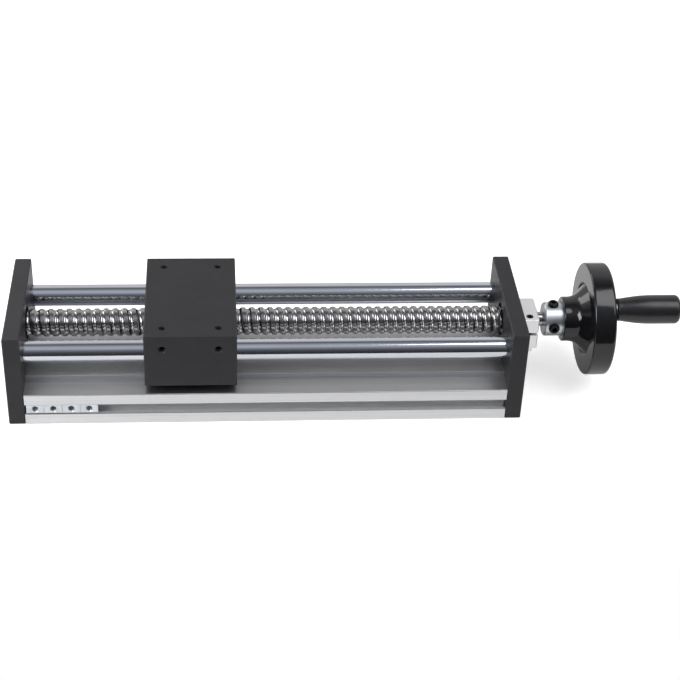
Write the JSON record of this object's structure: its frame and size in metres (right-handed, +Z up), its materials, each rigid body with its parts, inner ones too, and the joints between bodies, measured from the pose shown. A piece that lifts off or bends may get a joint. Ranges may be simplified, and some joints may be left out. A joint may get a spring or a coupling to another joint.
{
  "type": "manual ball screw linear stage",
  "caption": "Single-axis linear stage: a slotted aluminium base, end plates, guide rods and a ball screw that a dished hand wheel turns to move a tapped carriage block.",
  "frame": {"origin": "on the underside of the base, midway between the outer faces of the end plates and midway across the width", "axes": "+X along the travel towards the hand wheel, +Z up out of the carriage's top, -Y towards the front with the slot nuts"},
  "size_m": [0.366, 0.08, 0.0707],
  "materials": {
    "clear_aluminium": "natural anodised extrusion, satin, with fine die lines",
    "milled_aluminium": "milled and lightly deburred, satin",
    "black_aluminium": "black anodised milled plate, satin",
    "chromed_rod": "hard chromed and ground, bright",
    "rolled_screw": "rolled and polished thread, oiled",
    "black_steel": "black oxide, oiled, semi gloss",
    "zinc_steel": "turned and bright zinc plated",
    "ring_steel": "ground bearing steel",
    "nut_steel": "ground steel, oiled",
    "spring_steel": "phosphated spring steel",
    "wheel_plastic": "moulded thermoset, polished black",
    "grip_plastic": "moulded thermoset, satin black",
    "cage_plastic": "moulded resin, natural white",
    "wiper_plastic": "moulded resin, natural white",
    "seal_rubber": "moulded nitrile rubber, black"
  },
  "bodies": {
    "base": {"base_extrusion": "clear_aluminium", "left_end_plate": "black_aluminium", "right_end_plate": "black_aluminium", "front_guide_rod": "chromed_rod", "rear_guide_rod": "chromed_rod", "rod_end_screws": "black_steel", "plate_base_screws": "black_steel", "left_bearing_outer_ring": "ring_steel", "right_bearing_outer_ring": "ring_steel", "screw_bearing_shields": "ring_steel", "lock_block": "milled_aluminium", "lock_block_screws": "black_steel"},
    "lock_screw": {"lock_clamp_screw": "black_steel"},
    "screw": {"ball_screw": "rolled_screw", "left_bearing_inner_ring": "ring_steel", "right_bearing_inner_ring": "ring_steel", "wheel_bushing": "zinc_steel", "bushing_set_screws": "black_steel", "handwheel": "wheel_plastic", "handle_spindle": "zinc_steel"},
    "handle": {"handle_grip": "grip_plastic"},
    "carriage": {"carriage_block": "black_aluminium", "ball_nut": "nut_steel", "nut_wipers": "wiper_plastic", "nut_key": "nut_steel", "nut_retaining_rings": "spring_steel", "front_linear_bearing_sleeve": "ring_steel", "front_linear_bearing_cage": "cage_plastic", "front_linear_bearing_seals": "seal_rubber", "rear_linear_bearing_sleeve": "ring_steel", "rear_linear_bearing_cage": "cage_plastic", "rear_linear_bearing_seals": "seal_rubber", "linear_bearing_retaining_rings": "spring_steel"},
    "nuts": {"slot_nuts": "zinc_steel"}
  },
  "joints": [
    {"name": "screw_spin", "type": "hinge", "parent": "base", "child": "screw", "pos_m": [0, 0, 0.0392], "axis": [1, 0, 0], "range_deg": [-10548, 4572]},
    {"name": "carriage_slide", "type": "slide", "parent": "base", "child": "carriage", "axis": [1, 0, 0], "range_m": [-0.06355, 0.14655]},
    {"name": "handle_spin", "type": "hinge", "parent": "screw", "child": "handle", "pos_m": [0.2, -0.01667, 0.05646], "axis": [1, 0, 0], "continuous": true},
    {"name": "slot_nuts_slide", "type": "slide", "parent": "base", "child": "nuts", "axis": [1, 0, 0], "range_m": [-0.0005, 0.2215]},
    {"name": "lock_screw_turn", "type": "hinge", "parent": "base", "child": "lock_screw", "pos_m": [0.145, -0.0114, 0.0392], "axis": [0, 0, -1], "range_deg": [0, 180]}
  ],
  "couplings": [
    {"joint": "carriage_slide", "follows": "screw_spin", "m_per_rad": -0.00079577}
  ]
}
